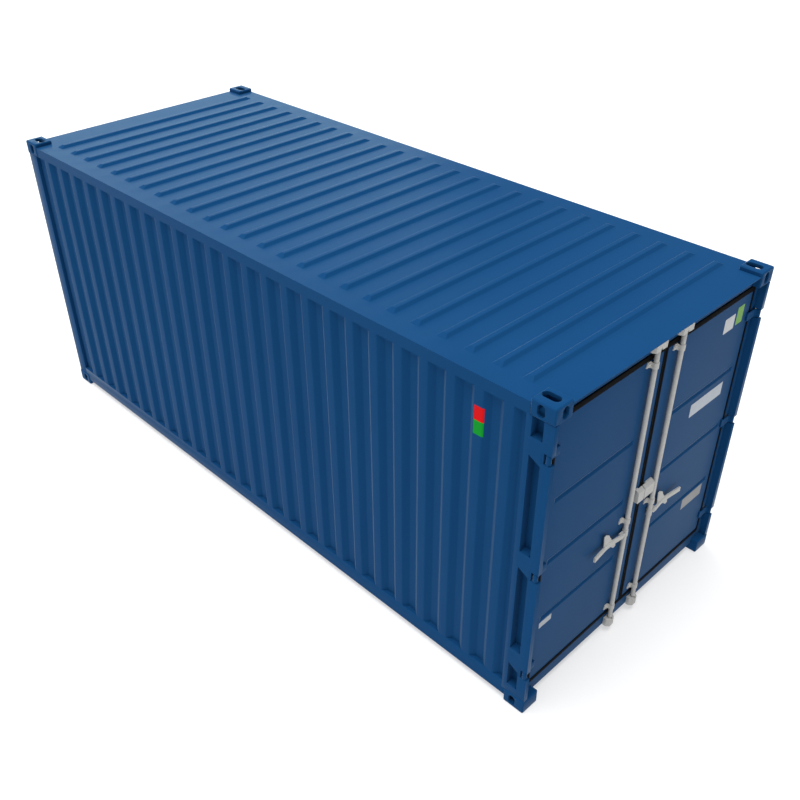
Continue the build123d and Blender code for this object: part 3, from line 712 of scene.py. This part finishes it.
WALL_PATCH_RUN = (2.445, 2.511)
WALL_PATCH_FOLD = 0.010
WALL_PATCH_LEVELS = (2.136, 2.343)
WALL_PATCH_SPLIT = 2.2395
WALL_PATCH_RED = (0.66, 0.007, 0.010)
WALL_PATCH_GREEN = (0.006, 0.29, 0.026)
WALL_PATCH_SHINE = 0.03
two_tone, two_tone_shader, two_tone_place = new_finish("wall_label_vinyl")
height_up = two_tone_place.node(
    "ShaderNodeSeparateXYZ", {}, {"Vector": two_tone_place}, output="Z"
)
halves = height_up.above(WALL_PATCH_SPLIT).between(WALL_PATCH_GREEN, WALL_PATCH_RED)
feed(two_tone_shader, "Base Color", halves)
feed(two_tone_shader, "Roughness", two_tone_place.noise(VINYL_SCUFFS).spread(*VINYL_ROUGHNESS))
settle(two_tone_shader, Specular_IOR_Level=WALL_PATCH_SHINE)
wall_patch = new_sheet(
    "wall_label",
    (WALL_PATCH_RUN[1] - WALL_PATCH_RUN[0], WALL_PATCH_LEVELS[1] - WALL_PATCH_LEVELS[0]),
)
spin("X", QUARTER_TURN)
bpy.ops.transform.translate(
    value=(sum(WALL_PATCH_RUN) / 2, wall_low.y, sum(WALL_PATCH_LEVELS) / 2)
)
select_at(wall_patch, WALL_PATCH_RUN[1])
pull(x=WALL_PATCH_FOLD, y=WALL_PATCH_FOLD * WAVE_DEPTH / SLOPE)
select_at(wall_patch, WALL_PATCH_RUN[1])
bpy.ops.mesh.bevel(offset=WAVE_BEND, segments=BEND_STEPS, affect="EDGES")
face(wall_patch, (0, -1, 0))
thicken(wall_patch, two_tone, VINYL, BEFORE)
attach(wall_patch, "frame")

# Stage: a plain pale floor that runs out of sight and glows a little, so shade on it stays faint.
# A soft light hangs overhead, one lamp panel stands behind the box and one to its side.
FLOOR_SIZE = 400.0
FLOOR_DROP = 0.002
FULL_WHITE = (1.0, 1.0, 1.0, 1.0)
PALE = (0.50, 0.50, 0.50, 1.0)
FLOOR_ROUGHNESS = 0.9
FLOOR_GLOW = 0.52
bpy.ops.object.select_all(action="DESELECT")
bpy.ops.mesh.primitive_plane_add(size=FLOOR_SIZE, location=(0, 0, -FLOOR_DROP))
ground = bpy.context.object
ground.name = "ground"
pale, pale_shader, _ = new_finish("pale_floor")
settle(pale_shader, Base_Color=PALE, Roughness=FLOOR_ROUGHNESS, Specular_IOR_Level=0.0)
settle(pale_shader, Emission_Color=FULL_WHITE, Emission_Strength=FLOOR_GLOW)
ground.data.materials.append(pale)

SURROUND = 0.31
world = bpy.data.worlds.new("studio")
world.use_nodes = True
settle(world.node_tree.nodes["Background"], Color=FULL_WHITE, Strength=SURROUND)
bpy.context.scene.world = world
bpy.context.scene.view_settings.view_transform = "Standard"

OVERHEAD_POWER = 3.5
OVERHEAD_ANGLE = math.radians(50)
OVERHEAD_FROM = (-0.05, -0.12, 1.0)
overhead = bpy.data.lights.new("overhead", "SUN")
overhead.energy = OVERHEAD_POWER
overhead.angle = OVERHEAD_ANGLE
lamp = bpy.data.objects.new("overhead", overhead)
lamp.rotation_euler = (-Vector(OVERHEAD_FROM)).to_track_quat("-Z", "Y").to_euler()
bpy.context.scene.collection.objects.link(lamp)

PANEL_SIZE = (9.0, 4.5)
BACK_PLACE = (-10.0, 5.5, 7.0)
BACK_TARGET = (0.0, 0.0, 2.6)
BACK_POWER = 640.0
BACK_TINT = (0.74, 1.0, 0.97)
SIDE_PLACE = (-4.0, -11.0, 4.5)
SIDE_TARGET = (1.5, 0.0, 1.3)
SIDE_POWER = 140.0
SIDE_TINT = (0.88, 0.97, 1.0)


def light_panel(name, place, target, power, tint):
    """A large flat lamp that faces its target."""
    panel = bpy.data.lights.new(name, "AREA")
    panel.shape = "RECTANGLE"
    panel.size, panel.size_y = PANEL_SIZE
    panel.energy = power
    panel.color = tint
    stand = bpy.data.objects.new(name, panel)
    stand.location = place
    sight = Vector(target) - Vector(place)
    stand.rotation_euler = sight.to_track_quat("-Z", "Y").to_euler()
    bpy.context.scene.collection.objects.link(stand)


light_panel("back_panel", BACK_PLACE, BACK_TARGET, BACK_POWER, BACK_TINT)
light_panel("side_panel", SIDE_PLACE, SIDE_TARGET, SIDE_POWER, SIDE_TINT)

# Camera: above the corner by the doors, looking down along the box.
# Its place, angle and lens are those of the photograph, whose middle of view is given in pixels.
CAMERA_PLACE = (5.3442, -4.6820, 5.4728)
CAMERA_AZIMUTH = math.radians(45.220)
CAMERA_ELEVATION = math.radians(35.394)
CAMERA_ROLL = math.radians(-0.118)
LENS = 41.92
SENSOR = 36.0
FRAME_SIZE = 800
PRINCIPAL = (402.87, 413.84)
camera = bpy.data.cameras.new("camera")
camera.sensor_width = SENSOR
camera.lens = LENS
camera.shift_x = (FRAME_SIZE / 2 - PRINCIPAL[0]) / FRAME_SIZE
camera.shift_y = (PRINCIPAL[1] - FRAME_SIZE / 2) / FRAME_SIZE
eye = bpy.data.objects.new("camera", camera)
back = Vector(
    (
        math.sin(CAMERA_AZIMUTH) * math.cos(CAMERA_ELEVATION),
        -math.cos(CAMERA_AZIMUTH) * math.cos(CAMERA_ELEVATION),
        math.sin(CAMERA_ELEVATION),
    )
)
turn = (-back).to_track_quat("-Z", "Y").to_matrix() @ Matrix.Rotation(CAMERA_ROLL, 3, "Z")
eye.location = CAMERA_PLACE
eye.rotation_euler = turn.to_euler()
bpy.context.scene.collection.objects.link(eye)
bpy.context.scene.camera = eye
